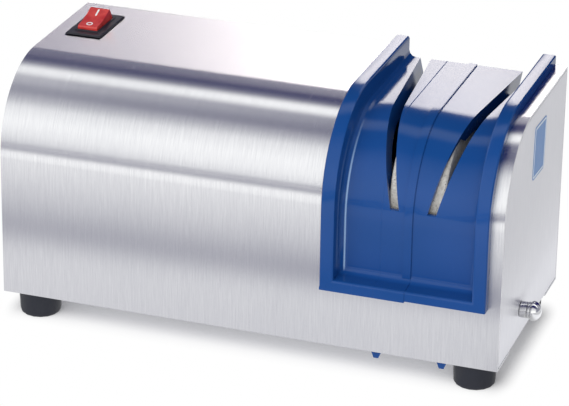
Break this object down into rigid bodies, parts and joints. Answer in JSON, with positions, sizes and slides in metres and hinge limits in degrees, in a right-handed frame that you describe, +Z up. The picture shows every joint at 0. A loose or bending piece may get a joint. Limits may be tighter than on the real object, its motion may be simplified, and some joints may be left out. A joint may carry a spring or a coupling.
{
  "type": "electric knife sharpener",
  "caption": "Bench knife sharpener: wrapped steel housing on rubber feet, rocker switch, motor-driven grinding wheels under a lift-off moulded guide with mirrored blade slots.",
  "frame": {"origin": "middle of the overall box's footprint, at the bottom of the feet", "axes": "+X along the length, from the switch end to the guide end; +Y from the front to the back; +Z up"},
  "size_m": [0.3312, 0.16, 0.17],
  "materials": {
    "stainless": "brushed",
    "blue_moulding": "gloss",
    "abrasive": "rough",
    "rubber": "matt",
    "black_plastic": "satin",
    "red_plastic": "gloss",
    "chrome": "polished",
    "steel": "satin",
    "painted_motor": "satin",
    "copper": "varnished",
    "bronze": "satin",
    "nylon": "matt"
  },
  "bodies": {
    "housing": {"housing_cover": "stainless", "left_end_panel": "stainless", "right_end_panel": "stainless", "base_plate": "steel", "partition_plate": "steel", "foot_front_left": "rubber", "foot_front_right": "rubber", "foot_back_left": "rubber", "foot_back_right": "rubber", "foot_screw_front_left": "steel", "foot_screw_front_right": "steel", "foot_screw_back_left": "steel", "foot_screw_back_right": "steel", "base_screw_front_left": "steel", "base_screw_front_right": "steel", "base_screw_back_left": "steel", "base_screw_back_right": "steel", "switch_housing": "black_plastic", "cord_gland": "black_plastic", "gland_nut": "black_plastic", "plunger_bushing": "chrome", "plunger_nut": "steel", "motor_cradle": "painted_motor", "motor_strap_left": "steel", "motor_strap_right": "steel", "strap_screw_front_left": "steel", "strap_screw_back_left": "steel", "strap_screw_front_right": "steel", "strap_screw_back_right": "steel", "motor_shell": "painted_motor", "motor_bell_left": "painted_motor", "motor_bell_right": "painted_motor", "motor_bolt_upper": "steel", "motor_bolt_lower": "steel", "stator_core": "steel", "stator_winding": "copper", "shaft_bearing_left": "bronze", "shaft_bearing_right": "bronze", "arbor_bearing": "bronze", "run_capacitor": "nylon", "capacitor_clip": "steel"},
    "rotor": {"motor_shaft": "steel", "rotor_core": "steel", "cooling_fan": "black_plastic", "wheel_flange_inner": "steel", "grinding_wheel_left": "abrasive", "wheel_spacer": "steel", "grinding_wheel_right": "abrasive", "wheel_flange_outer": "steel", "wheel_nut": "steel"},
    "guide": {"guide_left_half": "blue_moulding", "guide_right_half": "blue_moulding", "guide_screw_back": "steel", "guide_screw_skirt": "steel", "guide_screw_foot": "steel"},
    "plunger": {"plunger_knob": "chrome", "plunger_pin": "steel", "plunger_spring": "steel"},
    "rocker": {"rocker_button": "red_plastic", "rocker_pin": "steel"}
  },
  "joints": [
    {"name": "rotor_spin", "type": "hinge", "parent": "housing", "child": "rotor", "pos_m": [0, -0.02, 0.107], "axis": [1, 0, 0], "continuous": true},
    {"name": "guide_lift", "type": "slide", "parent": "housing", "child": "guide", "axis": [0, 0, 1], "range_m": [0, 0.16]},
    {"name": "plunger_pull", "type": "slide", "parent": "housing", "child": "plunger", "axis": [1, 0, 0], "range_m": [0, 0.0044], "stiffness_N_per_m": 400, "springref_m": -0.003, "deforming": ["plunger_spring"]},
    {"name": "rocker_tip", "type": "hinge", "parent": "housing", "child": "rocker", "pos_m": [-0.1442, 0.0271, 0.1589], "axis": [-1, 0, 0], "range_deg": [0, 28]}
  ]
}
